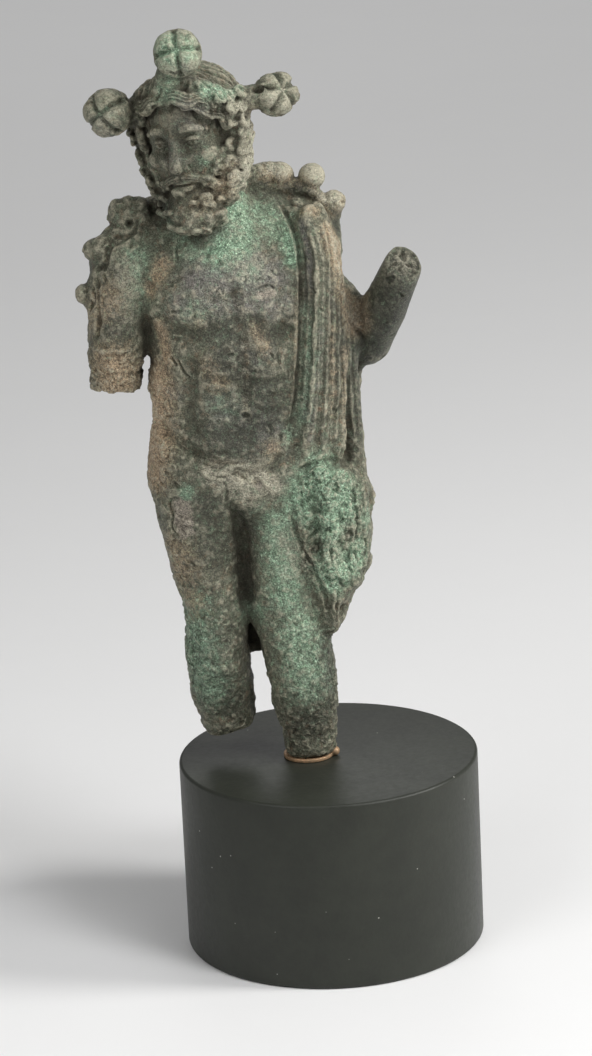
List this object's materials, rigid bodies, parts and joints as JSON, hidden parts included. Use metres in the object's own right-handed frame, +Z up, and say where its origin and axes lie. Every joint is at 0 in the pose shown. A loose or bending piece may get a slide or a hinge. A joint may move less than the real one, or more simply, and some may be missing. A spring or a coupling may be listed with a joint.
{
  "type": "statuette",
  "caption": "Small cast bronze figure of a standing bearded god with a mantle, weathered and broken, on a black cylindrical stand.",
  "frame": {"origin": "centre of the stand's underside", "axes": "+Z up; the figure's chest faces -Y and its left side is +X"},
  "size_m": [0.0555, 0.0444, 0.1391],
  "materials": {
    "weathered_bronze": "rough green and brown patina with earthy crust",
    "copper": "dull bare copper",
    "black_lacquer": "satin black paint on turned wood"
  },
  "bodies": {
    "root": {"bronze_figure": "weathered_bronze", "mount_collar": "copper", "stand": "black_lacquer"}
  },
  "joints": []
}
